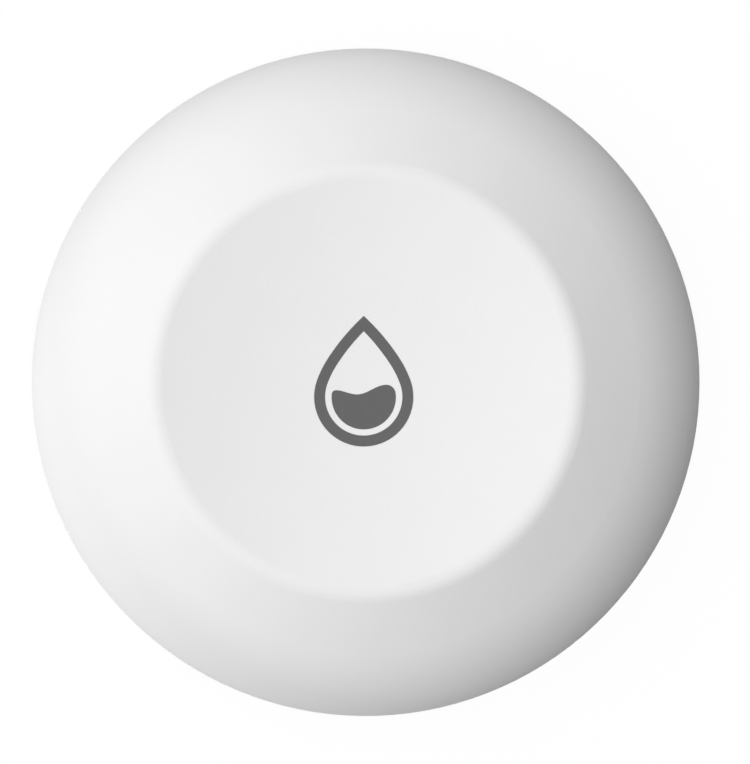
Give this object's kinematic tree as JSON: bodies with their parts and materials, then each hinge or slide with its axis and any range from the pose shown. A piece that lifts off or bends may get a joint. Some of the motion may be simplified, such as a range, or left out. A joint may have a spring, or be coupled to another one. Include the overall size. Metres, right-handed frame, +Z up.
{
  "type": "water leak sensor",
  "caption": "Round white floor sensor with a dished top over a low dome, closed from below by a twist-lock base whose metal probes detect water between them.",
  "frame": {"origin": "on the floor under the middle of the round body", "axes": "+Z up along the body's axis, +Y towards the tip of the drop sign, +X to the right of the sign"},
  "size_m": [0.05, 0.05, 0.015],
  "materials": {
    "shell_plastic": "fine matte moulded white plastic",
    "base_plastic": "fine matte moulded white plastic",
    "sign_print": "thin matte grey print",
    "seal_rubber": "matte dark silicone rubber",
    "probe_steel": "turned stainless steel",
    "fastener_steel": "zinc plated steel",
    "contact_brass": "gold flashed spring brass",
    "contact_steel": "nickel plated spring steel",
    "cell_steel": "brushed nickel plated steel",
    "cell_gasket": "black moulded gasket",
    "holder_plastic": "matte black moulded plastic",
    "board_laminate": "green solder mask over glass fibre laminate",
    "copper_trace": "masked copper",
    "chip_epoxy": "black moulded epoxy",
    "crystal_lid": "plated lid",
    "capacitor_ceramic": "tan fired ceramic",
    "led_clear": "clear cast resin",
    "switch_plastic": "black moulded plastic",
    "plunger_plastic": "ivory moulded plastic"
  },
  "bodies": {
    "shell": {"top_shell": "shell_plastic", "circuit_board": "board_laminate", "board_screws": "fastener_steel", "antenna_trace": "copper_trace", "radio_chip": "chip_epoxy", "crystal": "crystal_lid", "chip_capacitors": "capacitor_ceramic", "status_led": "led_clear", "switch_body": "switch_plastic", "switch_cover": "contact_steel", "switch_terminals": "contact_steel", "switch_dome": "contact_steel", "battery_holder": "holder_plastic", "positive_clip": "contact_steel", "negative_spring": "contact_steel", "cell_can": "cell_steel", "cell_seal": "cell_gasket", "cell_cap": "cell_steel", "probe_springs": "contact_brass"},
    "base": {"base_cover": "base_plastic", "base_oring": "seal_rubber", "probe_left": "probe_steel", "probe_right": "probe_steel", "probe_seals": "seal_rubber", "probe_washers": "contact_brass", "probe_nuts": "fastener_steel"},
    "plunger": {"switch_plunger": "plunger_plastic"}
  },
  "joints": [
    {"name": "base_twist", "type": "hinge", "parent": "shell", "child": "base", "pos_m": [0, 0, 0], "axis": [0, 0, -1], "range_deg": [0, 40]},
    {"name": "switch_press", "type": "slide", "parent": "shell", "child": "plunger", "axis": [0, 0, -1], "range_m": [0, 0.00025], "stiffness_N_per_m": 4000, "deforming": ["switch_dome"]}
  ]
}
